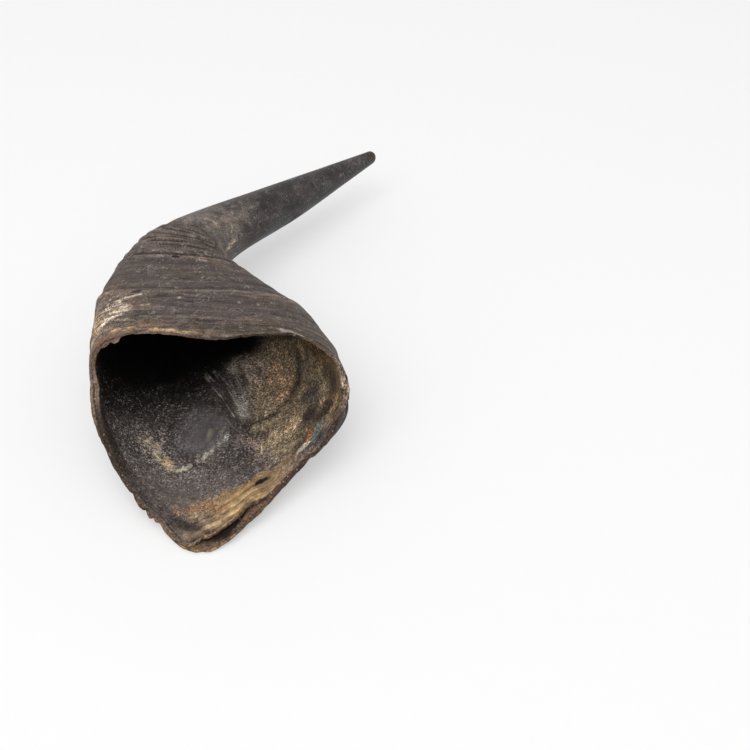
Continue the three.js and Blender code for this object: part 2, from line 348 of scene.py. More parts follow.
def hollow_relief(at, angle):
    """Low ridges across the hollow, lengthwise threads, and soft bumps, in millimetres."""
    far = length_along(at)
    wander = 0.8 * grain(wrapped(angle, 2, far / 30), 41)
    ridges = lattice(wrapped(angle, 1.1, far / RIDGES_APART + wander), 43)
    threads = lattice(wrapped(angle, 26, far / 22), 47)
    bumps = grain(wrapped(angle, 5, far / BUMPS_APART), 53)
    return RIDGES_HIGH * ridges + THREADS_HIGH * threads + BUMPS_HIGH * bumps


# ------------------------------------------------------------------ the grid over the horn
def column_angles():
    """Angles of the columns: evenly spread, then drawn together towards the long belly lip."""
    even = np.arange(COLUMNS) * 2 * math.pi / COLUMNS
    return even - CROWD_AT_LIP * np.sin(even - 270 * DEGREE)


def spans(*pieces):
    """Evenly spaced places in each (from, to, count) stretch, one after the other, ends left out."""
    return np.concatenate([np.linspace(low, high, count, endpoint=False) for low, high, count in pieces])


def relief(at, angle):
    """How far the skin stands out from the plain sections, in millimetres."""
    lift = main_relief(at, angle) + fine_relief(at, angle)
    for place, long, turn, wide, height in SWELLS:
        lift = lift + height * np.exp(-((at - place) / long) ** 2) * waves(angle, [(turn, wide, 1)])
    return lift


def outside_rows(angle):
    """The skin from the tip's end to just short of the mouth."""
    at = spans(*OUTSIDE_SPANS)[:, None]
    lift = relief(at, angle)
    return at, lift, skin(at, angle, lift - curl(at, angle), back=edge_shift(at, angle))


def tip_rows(angle):
    """The blunt tip: the last section shrinks by a cosine while it moves ahead by a sine."""
    turn = spans((90, 0, TIP_ROWS))[1:, None, None] * DEGREE
    heading = SECTIONS["heading"][-1] * DEGREE
    forward = np.array([math.sin(heading), math.cos(heading), 0])
    middle = np.array([SECTIONS[name][-1] for name in "xyz"])
    end = skin(1, angle, relief(np.ones((1, 1)), angle))
    rows = middle + (end - middle) * np.cos(turn) + forward * TIP_LENGTH * np.sin(turn)
    return rows, middle + forward * TIP_LENGTH


def shelf_depth(angle):
    """How far the inner layer of the lip has broken back, with a jagged edge."""
    jagged = SPLIT_JAGS * grain(wrapped(angle, 14, 4.5), 61, 3)
    return split(angle) * np.maximum(SPLIT_BACK + jagged, 0)


def rim_rows(angle):
    """The broken face of the rim, from the skin's edge to the hollow's: rounded and rough."""
    share, shelf, crack = np.array(RIM_ROWS, float).T[:, :, None]
    thick = wall(np.zeros((1, 1)), angle)
    rough = (FACE_LUMPS * grain(wrapped(angle, 14, share * 2.5), 67)
             + FACE_GRIT * grain(wrapped(angle, 45, share * 5), 68)) * window(share, 0.06, 0.94, 0.2)
    rough = rough * (1 + waves(angle, [LUMPY]))
    rounded = EDGE_ROUND * (2 * share - 1) ** 4
    lift = relief(np.zeros((1, 1)), angle) * (1 - share)
    inset = share * thick + waves(angle, PEELS) * smooth((share - 0.3) / 0.4)
    back = edge_shift(0, angle) + rounded + rough
    back = back + shelf * shelf_depth(angle) + crack * split(angle) * SPLIT_DEPTH
    points = skin(np.zeros((1, 1)), angle, lift - curl(0, angle), inset, back, BELLY_WALL * inset)
    return share, points


def hollow_rows(angle):
    """The inside, from just behind the rim to the hollow's end in the spike."""
    at = spans(*HOLLOW_SPANS)[:, None]
    plain = wall(at, angle)
    near_rim = np.clip(at / 0.03, 0, 1)
    inset = plain - hollow_relief(at, angle) * near_rim * np.clip((HOLLOW_ENDS - at) / 0.2, 0, 1)
    back = shelf_depth(angle) * fading(at, RIM_REACH) + edge_shift(at, angle)
    back = back + EDGE_ROUND * fading(at, 0.02) ** 2
    inset = inset + waves(angle, PEELS) * fading(at, PEEL_REACH) ** 2
    return at, skin(at, angle, -curl(at, angle), inset, back, BELLY_WALL * plain)


# ------------------------------------------------------------------ colours
def colours(*shades):
    """Colours of 0 to 255 a channel as the linear values that a shader mixes."""
    values = np.array(shades) / 255
    return np.where(values < 0.04045, values / 12.92, ((values + 0.055) / 1.055) ** 2.4)


BLACK, CHIP_BLACK, DARK = colours((9, 8, 8), (26, 23, 22), (46, 40, 36))
SPIKE, SPIKE_ROOT_AND_SHEEN, SPIKE_WARM = colours((52, 47, 46), (92, 84, 78), (66, 56, 50))
BODY, BODY_WARM, BODY_PALE, BODY_DARK = colours((84, 74, 71), (92, 77, 66), (132, 117, 106), (50, 43, 40))
RIB_TONE, RIM_BAND, CRUST, DUST = colours((98, 85, 78), (120, 98, 76), (158, 150, 146), (200, 192, 180))
SHOULDER, SHOULDER_PALE, CREAM = colours((150, 128, 106), (192, 172, 150), (214, 198, 178))
RIM_BROWN, RIM_DARK, RIM_PALE = colours((108, 86, 68), (46, 38, 34), (160, 140, 124))
RIM_RED, SHELF, INNER_STRIP = colours((128, 96, 78), (98, 77, 60), (56, 46, 41))
HOLLOW, HOLLOW_TAN, HOLLOW_GREY = colours((78, 71, 69), (140, 123, 99), (108, 98, 94))
HOLLOW_OLIVE, UPPER_BROWN, TEAL = colours((110, 90, 66), (92, 70, 46), (112, 116, 112))
GOLD, ORANGE, RUST, TAN = colours((206, 169, 120), (198, 163, 132), (158, 108, 68), (160, 130, 100))
YELLOW, YELLOW_DARK, PALE_GOLD = colours((170, 152, 124), (110, 84, 52), (204, 186, 150))
SMOOTH_GREY, SILVER, LILAC = colours((104, 99, 98), (178, 172, 162), (142, 127, 120))
DEEP_PALE, PALE_TAN = colours((196, 176, 158), (172, 152, 130))

# The mean and the least of what a finish multiplies its painted tone by.
MEAN_SHADE, LEAST_SHADE = 0.88, 0.06
# The painted shadow under the crest ends on a line through a corner, seen from above: its x and y, and how
# far back the line runs for each millimetre to the right.
SHADOW_CORNER, SHADOW_SLOPE = (-51, -41), 0.51
# The silky dust: how far its streaks are turned, and how often they change along and across.
STREAK_TURN, STREAK_SCALES = 59, (70, 640, 70)

# Patches of the skin, the hollow and its lip: colour, path in millimetres, width and strength.
SKIN_PATCHES = [
    (SHOULDER_PALE, [(-77, -84, 69), (-73, -77, 73), (-67, -70, 76), (-61, -66, 78)], 5, 1.2),
    (CREAM, [(-75, -80, 71), (-69, -73, 75), (-62, -68, 78)], 2, 0.9),
    (CREAM, [(-58, -67, 79), (-56, -66, 79)], 1.2, 1),
    (SHOULDER_PALE, [(-78, -64, 68), (-72, -60, 73), (-66, -58, 76)], 3.5, 0.8),
    (CREAM, [(-74, -55, 71), (-63, -54, 76), (-52, -53, 79)], 1, 1),
    (CREAM, [(-75, -60, 70), (-66, -59, 75), (-60, -60, 77)], 1, 0.9),
    (YELLOW, [(-62, -78, 80), (-52, -82, 83)], 1.1, 1),
    (TAN, [(-81, -60, 62), (-78, -70, 68), (-75, -84, 71)], 7, 0.85),
    (CREAM, [(-80, -62, 64), (-77, -74, 69)], 1.6, 0.6),
    (RUST, [(-57, -66, 79), (-50, -65, 80)], 2, 0.6),
    (YELLOW, [(-50, -65, 80), (-46, -65, 81)], 1.2, 0.9),
    (CREAM, [(-28, -59, 81)], 1, 0.9),
    (CREAM, [(-33, -52, 79), (-30, -53, 80)], 0.8, 0.8),
    (GOLD, [(-62, -90, 82), (-48, -94, 86), (-34, -97, 89), (-18, -101, 90)], 2.6, 0.6),
    (RUST, [(-50, -90, 85), (-30, -93, 88)], 2, 0.6),
    (YELLOW, [(-30, -98, 89), (-12, -101, 90)], 1.5, 0.7),
    (CRUST, [(35, -95, 86), (40, -95, 85), (45, -98, 85), (51, -100, 83)], 2.4, 0.8),
    (CRUST, [(-2, -105, 90), (12, -103, 89)], 1.5, 0.5),
    (YELLOW_DARK, [(-34, -9, 76), (-24, -10, 75), (-19, -12, 75), (-7, -17, 73)], 1.8, 0.8),
    (CRUST, [(-24, -13, 75), (-17, -14, 75)], 1.2, 0.6),
    (CHIP_BLACK, [(-78, -20, 65)], 3, 0.9),
    (CHIP_BLACK, [(-58, -49, 78), (-53, -49, 79)], 1.2, 0.9),
    (CHIP_BLACK, [(-27, -77, 84), (-23, -77, 84)], 1.3, 0.9),
    (YELLOW, [(-10, 51, 45), (-14, 43, 43), (-17, 38, 38)], 1.2, 0.8),
    (TAN, [(-22, 50, 59), (-13, 50, 50)], 1.8, 0.5),
    (TAN, [(-17, 60, 59), (-8, 57, 50)], 1.5, 0.45),
]
HOLLOW_WASHES = [
    (SMOOTH_GREY, [(-20, -100, 4), (-16, -86, 4)], 16, 1),
    (SILVER, [(-5, -32, 4), (1, -56, 4), (5, -76, 4)], 6, 0.6),
    (DARK, [(-12, -62, 4), (8, -92, 4)], 6, 0.2),
    (DEEP_PALE, [(0, -30, 4), (8, -34, 4), (12, -44, 4)], 10, 0.9),
    (PALE_TAN, [(14, -52, 4), (19, -66, 4), (24, -80, 6)], 11, 0.7),
    (ORANGE, [(22, -42, 6), (28, -52, 8), (30, -64, 8)], 10, 0.85),
    (DARK, [(37, -42, 24), (38, -52, 18), (36, -64, 11), (30, -75, 7), (19, -84, 4), (8, -88, 4)], 4.5, 0.8),
    (DARK, [(8, -88, 4), (-5, -77, 4), (-17, -61, 4)], 2, 0.7),
    (HOLLOW, [(43, -74, 15), (50, -77, 20), (50, -90, 20), (46, -95, 16)], 6, 0.85),
    (HOLLOW, [(44, -54, 24), (48, -66, 24), (49, -76, 20)], 8, 0.6),
    (GOLD, [(51, -57, 39), (54, -65, 36)], 4, 0.5),
    (YELLOW, [(10, -90, 4), (19, -88, 4), (28, -82, 6), (33, -75, 8)], 3, 0.8),
    (YELLOW, [(38, -94, 11), (33, -100, 9), (26, -99, 7)], 5, 0.95),
    (DARK, [(45, -100, 16), (42, -108, 15)], 5, 0.5),
    (UPPER_BROWN, [(46, -50, 36), (56, -64, 43)], 9, 0.8),
    (INNER_STRIP, [(57, -70, 36), (62, -88, 38)], 6, 0.7),
    (INNER_STRIP, [(58, -97, 29), (52, -98, 22), (48, -92, 18)], 7, 0.85),
    (LILAC, [(4, -100, 4), (14, -108, 5), (24, -118, 8)], 9, 0.55),
    (LILAC, [(-22, -116, 4), (-10, -116, 4)], 6, 0.5),
    (HOLLOW_TAN, [(-52, -107, 9), (-45, -115, 7), (-38, -121, 5)], 6, 0.55),
]
HOLLOW_PATCHES = [
    (PALE_GOLD, [(-50, -106, 9), (-43, -116, 7), (-36, -125, 5), (-28, -125, 4), (-24, -123, 4)], 1.4, 0.8),
    (DUST, [(-28, -125, 4), (-18, -117, 4), (-13, -111, 4), (-7, -102, 4), (-2, -95, 4)], 1.2, 0.76),
    (PALE_GOLD, [(-14, -96, 4), (-7, -93, 4)], 3.5, 0.4),
    (YELLOW, [(-48, -104, 8), (-39, -115, 5), (-34, -123, 5)], 2.2, 0.75),
    (GOLD, [(-38, -118, 5), (-35, -122, 5)], 1.6, 0.8),
    (DARK, [(2, -90, 4), (8, -93, 4), (18, -96, 5)], 4.5, 0.85),
    (GOLD, [(39, -92, 12), (35, -97, 10)], 3, 0.8),
    (YELLOW, [(28, -104, 8), (18, -108, 5)], 4, 0.6),
    (YELLOW, [(34, -114, 12), (26, -124, 9)], 5, 0.5),
    (ORANGE, [(38, -94, 11), (36, -90, 10)], 3, 0.7),
    (ORANGE, [(55, -88, 26)], 2.8, 1),
    (YELLOW, [(57, -80, 31)], 3.5, 0.7),
    (TAN, [(66, -98, 38), (64, -103, 35)], 2.5, 0.8),
    (TAN, [(-2, -152, 5), (-14, -157, 5)], 7, 0.8),
]
LIP_PATCHES = [
    (RIM_DARK, [(56, -103, 27), (48, -108, 20), (42, -116, 17)], 6, 0.7),
    (TEAL, [(53, -108, 24), (52, -113, 24), (51, -119, 24)], 3.8, 1.1),
    (RUST, [(49, -109, 20), (47, -115, 20)], 2.3, 1.2),
    (CREAM, [(47, -119, 21), (45, -121, 20), (43, -123, 19)], 2.6, 1.2),
    (CHIP_BLACK, [(20, -141, 10), (23, -139, 11)], 3.2, 1),
    (CHIP_BLACK, [(16, -146, 9), (18, -148, 9)], 1.2, 0.7),
    (CREAM, [(-15, -161, 5)], 0.9, 1.2),
    (DARK, [(-26, -166, 5), (-14, -170, 5)], 5, 0.85),
    (RUST, [(-26, -158, 5), (-16, -156, 5), (-6, -154, 5)], 3, 0.6),
    (RUST, [(2, -156, 6), (-4, -157, 5)], 4, 0.6),
    (DARK, [(8, -160, 8), (15, -152, 9)], 1, 0.6),
    (RIM_DARK, [(-10, -166, 5), (8, -164, 8), (16, -160, 11)], 1.3, 0.5),
]


def near(points, path, width):
    """1 on a path through the named places, falling off as exp(-(distance / width)^2)."""
    path = np.array(path, float)
    nearest = np.full(points.shape[:-1], np.inf)
    for start, end in zip(path[:-1], path[1:]) if len(path) > 1 else [(path[0], path[0])]:
        run = end - start
        length = max(run @ run, 1e-9)
        share = np.clip(((points - start) @ run) / length, 0, 1)[..., None]
        nearest = np.minimum(nearest, np.linalg.norm(points - start - share * run, axis=-1))
    return np.exp(-(nearest / width) ** 2)


def coats(tone, *layers):
    """Lays coats over the tones in turn: each is a colour, or a number to multiply the tones by,
    with a mask that is 1 where the coat covers and less where it is thin."""
    for shade, mask in layers:
        full = shade if np.ndim(shade) else tone * shade
        tone = tone + (full - tone) * mask[..., None]
    return tone


def stains(points, tone, patches, breaks):
    """Each patch is a colour, a path, a width and a strength. Its edge is broken up by breaks."""
    for shade, path, width, strength in patches:
        mask = near(points, path, width) * strength
        tone = coats(tone, (shade, smooth(1.6 * mask * (1 + breaks) - 0.25) * min(strength, 1)))
    return tone


def skin_tones(at, angle, points, lift):
    """Colour, dullness, contrast, dust and share of body on the outside: dark polished spike with
    painted shade on its underside and a paler root that is partly a painted sheen, brown wrinkled
    bend, grey-brown scaly body whose grooves are dirty and darkened as painted shade and whose
    ridges are lightened as painted highlight, painted shade under the right lobe, pale worn shoulder."""
    place = line_place(at, angle)
    threads = grain(wrapped(angle, 3.5, place / 1.5), 71, 2)
    streaks = grain(wrapped(angle, 2, place / 5), 72)
    clouds = grain(points / 14, 73)
    flecks = grain(points / 2.4, 79, 2)
    groove = grooves(lift) / 0.35
    body = smooth((SPIKE_FROM - at) / 0.06) + 0 * angle
    layer = window(at + waves(angle, [LEDGE_BOW]), 0.244, 0.266, 0.012) * smooth(0.4 + 1.6 * streaks)
    # Painted shade: the underside of the spike is darkened to about a third.
    under = smooth(0.55 - 1.1 * np.sin(angle)) * smooth((at - 0.58) / 0.08)
    band = smooth((0.15 - at - 0.05 * streaks) / 0.09) * waves(angle, [(128, 28, 1), (62, 28, 0.5)])
    shoulder = waves(angle, [(142, 17, 1)]) * window(at, 0.05, 0.27, 0.1)
    tone = coats(
        BODY,
        (BODY_WARM, body * smooth(0.4 + 1.4 * clouds) * 0.5),
        (RIB_TONE, window(at, 0.4, 0.6, 0.03) * 0.8),
        # The paler root of the spike is partly its own greyer colour and partly a painted sheen.
        (SPIKE_ROOT_AND_SHEEN, smooth((at - 0.575 + 0.02 * clouds) / 0.03)),
        (SPIKE, smooth((at - 0.66 + 0.06 * clouds + 0.03 * flecks) / 0.07)),
        (SPIKE_WARM, smooth((at - 0.6) / 0.1) * smooth(3 * clouds) * 0.6),
        (BODY_PALE, layer * 0.6),
        # Painted shade: the right side under the lobe, near the mouth, is darkened to a quarter.
        (0.25, waves(angle, [(343, 22, 1)]) * smooth((0.18 - at) / 0.06)),
        (BODY_DARK, waves(angle, [(84, 24, 0.9), (46, 18, 0.85)]) * smooth((0.08 - at) / 0.04)),
        (BODY_DARK, waves(angle, [(58, 26, 0.4)]) * window(at, 0.41, 0.56, 0.03)),
        (0.35, under),
        (BODY_PALE, body * smooth((threads - 0.15) / 0.5) * smooth(0.7 + streaks) * 0.32),
        (BODY_PALE, body * smooth((streaks - 0.25) / 0.3) * smooth((0.3 - at) / 0.04) * 0.28),
        (BODY_DARK, body * smooth((-threads - 0.15) / 0.5) * 0.28),
        (RIM_BAND, band * smooth(0.55 + 1.1 * streaks) * 0.85),
        (RUST, band * smooth((streaks + 0.6 * clouds - 0.22) / 0.22) * 0.3),
        (SHOULDER, shoulder * smooth(0.5 + 1.2 * clouds) * 0.8))
    tone = stains(points, tone, SKIN_PATCHES, 0.5 * threads + 0.9 * flecks)
    # Painted shade and dirt: the body darkens in its grooves. Painted highlight: it lightens on its ridges.
    groove_shade_and_dirt = 0.6 + 0.35 * window(at, 0.41, 0.6, 0.02) - 0.4 * window(at, 0.38, 0.405, 0.01)
    tone = coats(
        tone,
        (0.3, np.clip(groove - 0.12, 0, 1) * body * groove_shade_and_dirt),
        (1.5, np.clip(-groove - 0.15, 0, 1) * body * 0.6),
        (1.5, smooth((flecks - 0.3) / 0.25) * (0.25 + 0.35 * body)))
    dull = 0.46 + 0.28 * smooth((0.64 - at + 0.03 * clouds) / 0.08) + 0.06 * threads + 0.05 * clouds
    calm = window(at, 0.29, 0.375, 0.03)
    contrast = 1 + 0.6 * band + 1.5 * shoulder + 0.4 * window(at, 0.38, 0.6, 0.03) - 0.25 * calm
    return tone, dull, contrast, 0.24 + 0.24 * body, body


def skin_marks(at, angle):
    """For each point of the skin, how far it lies behind the great ledge in millimetres along the
    horn, and a number that is 1 on the edge of a small hole and less inside."""
    behind = (at - LEDGES[0][0] + waves(angle, [LEDGE_BOW])) * MARKS_LENGTH
    hole = np.minimum.reduce(hole_reach(at, angle))
    return stack(behind, np.minimum(hole, 9), 0)


def rim_tones(share, angle, points):
    """Colour, dullness, contrast, dust and share of body on the broken face: brown layers, painted
    black shade down in the split and on the back of the shelf, flesh-brown where it is thick on the right."""
    layers = grain(stack(points[..., 0] / 10, points[..., 1] / 10, share * 6), 83)
    chips = grain(points / 1.9, 89)
    lumps = grain(points / 4, 91)
    pale = waves(angle, [(18, 24, 0.85), (178, 18, 0.45), (110, 38, 0.4)])
    dark = waves(angle, [(312, 13, 0.6), (338, 13, 0.75), (224, 16, 0.6), (66, 26, 0.8), (92, 16, 0.4)])
    flesh = waves(angle, [(8, 26, 1)])
    front = waves(angle, [(272, 17, 1)])
    narrow = 0.016 * smooth((angle / DEGREE - 287) / 5)
    wide = waves(angle, [(283, 5, 0.035)])
    # Painted shade: the crack of the split and the back of the shelf before it are painted black.
    gap_shade = split(angle) * window(share, 0.385 + narrow - wide, 0.57 - 4 * narrow + wide, 0.03)
    tone = coats(
        RIM_BROWN,
        (RIM_PALE, pale),
        (RIM_RED, smooth(0.2 + 1.5 * chips) * 0.5),
        (RIM_PALE * 1.5, flesh * smooth((lumps - 0.05) / 0.25) * 0.85),
        (RIM_DARK, flesh * smooth((-lumps - 0.05) / 0.25) * 0.8),
        (RIM_DARK, smooth((layers - 0.1) / 0.3) * 0.7),
        (1.5, smooth((chips - 0.25) / 0.3) * 0.6),
        (RIM_DARK, dark),
        (RIM_DARK, waves(angle, [(207, 16, 0.8)]) * smooth((share - 0.2) / 0.2)),
        (GOLD, front * smooth((chips + layers - 0.15) / 0.3) * 0.6),
        (SHELF, split(angle) * window(share, 0.28, 0.41, 0.04) * smooth(0.9 + chips)),
        (BLACK, gap_shade * 0.97))
    flat = 0 * gap_shade
    return tone, 0.8 + flat, 1 + 0.8 * flesh + flat, 0.4 + flat, 1 + flat


def hollow_marks(points):
    """Two masks for the dust of the hollow: powdery at the left of the front, and drawn out in
    silky streaks along its middle."""
    powder = near(points, [(-53, -104, 10), (-45, -117, 7), (-30, -124, 5)], 10)
    silky = near(points, [(-21, -41, 4), (-8, -62, 4), (2, -79, 4)], 7)
    silky = np.maximum(silky, near(points, [(-6, -34, 4), (4, -56, 4), (9, -70, 4)], 6))
    return stack(powder, silky, 0)


def hollow_tones(at, angle, points):
    """Colour, dullness, contrast, dust and share of layers on the inside: painted black shadow under
    the crest, painted shade at its top, deep at the back on the right and along the inner walls at
    the left, speckled grey on the left and in front, tan to the right, a golden band of layers
    along the right of the lip."""
    x, y, z = np.moveaxis(points, -1, 0)
    fibres = grain(wrapped(angle, 34, length_along(at) / 18), 97)
    clouds = grain(points / 12, 101)
    flecks = grain(points / 1.7, 103, 2)
    swirls = grain(stack(x / 4 + 2 * clouds, y / 4 + 2 * clouds, z / 3), 107)
    right = smooth((x - 2 + 14 * clouds) / 20) * smooth((y + 124 + 10 * clouds) / 14)
    front = smooth((-y - 116 + 12 * clouds) / 14)
    band = waves(angle, [(290, 19, 1)]) * smooth((0.075 - at + 0.03 * clouds) / 0.035)
    strip_shade = waves(angle, [(214, 32, 1)]) * smooth((0.045 - at + 0.008 * clouds) / 0.008)
    tone = coats(
        HOLLOW,
        (HOLLOW_TAN, right),
        (HOLLOW_OLIVE, right * smooth((z - 26 + 8 * clouds) / 14) * 0.8),
        (HOLLOW_GREY, front * (1 - right) * 0.85))
    tone = stains(points, tone, HOLLOW_WASHES, 0.7 * clouds + 0.3 * flecks)
    tone = stains(points, tone, HOLLOW_PATCHES, 0.9 * clouds + 1.6 * flecks + 1.2 * fibres)
    tone = coats(
        tone,
        (GOLD, band * smooth(0.75 + 0.9 * clouds) * 0.95),
        (RUST, band * smooth((clouds + flecks - 0.2) / 0.5) * 0.25),
        (YELLOW_DARK, band * smooth((swirls - 0.1) / 0.25) * 0.55),
        (YELLOW, band * smooth((-swirls - 0.15) / 0.25) * 0.6))
    tone = stains(points, tone, LIP_PATCHES, 0.4 * clouds + 0.8 * flecks)

    # Painted shadow under the crest: back from a slanted line seen from above, the inside darkens towards
    # black; seen is how far a point lies in front of that line.
    shadow_edge = SHADOW_CORNER[1] + SHADOW_SLOPE * (x - SHADOW_CORNER[0]) + 5 * clouds
    seen = np.clip((shadow_edge - y) / (14 + 40 * smooth((-2 - x) / 30)), 0, 1)
    left = smooth((26 - x + 6 * clouds) / 20)
    shadow = near(points, [(10, -10, 16), (21, -19, 21), (27, -24, 26), (34, -31, 30)], 7)
    tone = coats(
        tone,
        # Painted shade: the inner wall just inside the lower left rim is darkened to a dark brown strip.
        (INNER_STRIP, strip_shade * 0.9),
        (1.7, smooth((flecks - 0.12) / 0.4) * 0.45),
        (0.45, smooth((-flecks - 0.12) / 0.4) * 0.45),
        # Painted shadow and shade: black under the crest and high up on the left, a black patch deep at the
        # back on the right, black along the inside of the left rim, and the upper inside darkened by half.
        (BLACK * 0.5, left * (1 - (0.05 + 0.95 * seen) ** 2.2)),
        (BLACK, left * smooth((z - 46 - 6 * clouds) / 10)),
        (BLACK, shadow * 0.9),
        (BLACK, smooth((-x - 64) / 12) * smooth((at - 0.045) / 0.04) * 0.85),
        (0.5, smooth((z - 46) / 16) * smooth((at - 0.02) / 0.06)))

    even = near(points, [(-20, -100, 4), (-14, -84, 4)], 16) + 0.8 * np.clip(band + strip_shade, 0, 1)
    even = even + 0.6 * near(points, [(-20, -142, 4), (-2, -136, 4)], 14)
    even = np.clip(even + 0.5 * near(points, [(-38, -140, 6), (-26, -150, 5)], 12), 0, 1)
    powder, silky = np.moveaxis(hollow_marks(points), -1, 0)[:2]
    dusty = (0.15 + left * smooth(1.3 * seen) * 0.85) * (1 - 0.7 * even) * smooth(3 * seen + 1 - left)
    dusty = np.clip(dusty + 0.7 * powder, 0, 1) * (1 - 0.8 * silky) + silky
    layered = np.clip(band + waves(angle, [(262, 30, 1)]) * smooth((0.05 - at) / 0.03), 0, 1)
    dull = 0.6 + 0.12 * clouds - 0.18 * even
    return tone, dull, 1.15 - even + 0.7 * layered, dusty * (1 - layered), layered


# ------------------------------------------------------------------ the mesh
def closed_faces(rows):
    """Quads between neighbouring rings, and a fan of triangles to the point at each end."""
    k = np.arange(COLUMNS)
    following = (k + 1) % COLUMNS
    lower = np.arange(rows - 1)[:, None] * COLUMNS
    quads = stack(lower + k, lower + following, lower + COLUMNS + following, lower + COLUMNS + k)
    last, points = (rows - 1) * COLUMNS, rows * COLUMNS
    fans = stack(points, following, k).tolist() + stack(points + 1, last + k, last + following).tolist()
    return quads.reshape(-1, 4).tolist() + fans


def put(name, data):
    """A new object with the given data, in the scene."""
    thing = bpy.data.objects.new(name, data)
    bpy.context.scene.collection.objects.link(thing)
    return thing


def put_mesh(name, points, faces, slots):
    """A smooth-shaded mesh of points in millimetres. slots gives each face's material."""
    mesh = bpy.data.meshes.new(name)
    mesh.from_pydata((points * MM).tolist(), [], faces)
    mesh.polygons.foreach_set("use_smooth", np.ones(len(faces), bool))
    mesh.polygons.foreach_set("material_index", slots.astype(np.int32))
    mesh.update()
    return put(name, mesh)


def put_attribute(piece, name, values):
    """Stores one value for each vertex: a number, a vector, or a colour with its alpha."""
    kinds = {1: ("FLOAT", "value"), 3: ("FLOAT_VECTOR", "vector"), 4: ("FLOAT_COLOR", "color")}
    kind, field = kinds[values.size // len(values)]
    attribute = piece.data.attributes.new(name, kind, "POINT")
    attribute.data.foreach_set(field, np.ascontiguousarray(values, np.float32).ravel())


def horn_piece():
    """The whole sheath as one closed skin: tip, outside, broken rim, hollow."""
    angle = column_angles()[None, :]
    tip, point = tip_rows(angle)
    out_at, lift, outside = outside_rows(angle)
    share, rim = rim_rows(angle)
    in_at, inside = hollow_rows(angle)
    rows = np.concatenate([tip, outside, rim, inside])
    points = np.concatenate([rows.reshape(-1, 3), point[None], inside[-1].mean(0)[None]])

    ones = np.ones((len(tip), 1))
    painted = [skin_tones(ones, angle, tip, 0 * tip[..., 0]), skin_tones(out_at, angle, outside, lift),
               rim_tones(share, angle, rim), hollow_tones(in_at, angle, inside)]
    tone = np.concatenate([part[0].reshape(-1, 3) for part in painted])
    tone = np.hstack([np.vstack([tone, tone[:1], tone[-1:]]), np.ones((len(points), 1))])
    others = [np.concatenate([values.ravel() for values in part]) for part in list(zip(*painted))[1:]]
    others = [np.concatenate([values, values[[0, -1]]]) for values in others]

    at = np.concatenate([ones, out_at, 0 * share, in_at])
    step = np.concatenate([0 * ones, 0 * out_at, share, 1 + 0 * in_at])
    place = line_place(at, angle) + RINGS_STEP * step
    rings = np.concatenate([wrapped(angle, 3, place).reshape(-1, 3),
                            [[0, 0, place[0, 0]], [0, 0, place[-1, 0]]]])
    fibres = np.concatenate([wrapped(angle, 60, place / 14).reshape(-1, 3), [[0, 0, 0], [0, 0, 0]]])
    marks = [skin_marks(ones, angle), skin_marks(out_at, angle), np.full(rim.shape, OFF_MARKS),
             hollow_marks(inside)]
    marks = np.concatenate([part.reshape(-1, 3) for part in marks] + [[[OFF_MARKS] * 3, [0, 0, 0]]])

    row_slot = np.repeat([0, 1, 2], [len(tip) + len(outside), len(rim), len(inside) - 1])
    slots = np.concatenate([np.repeat(row_slot, COLUMNS), np.full(COLUMNS, 0), np.full(COLUMNS, 2)])
    piece = put_mesh("horn_sheath", points, closed_faces(len(rows)), slots)
    names = ["tone", "marks", "rings", "fibres", "dull", "contrast", "dusty", "body"]
    for name, values in zip(names, [tone, marks, rings, fibres, *others]):
        put_attribute(piece, name, values)
    return piece


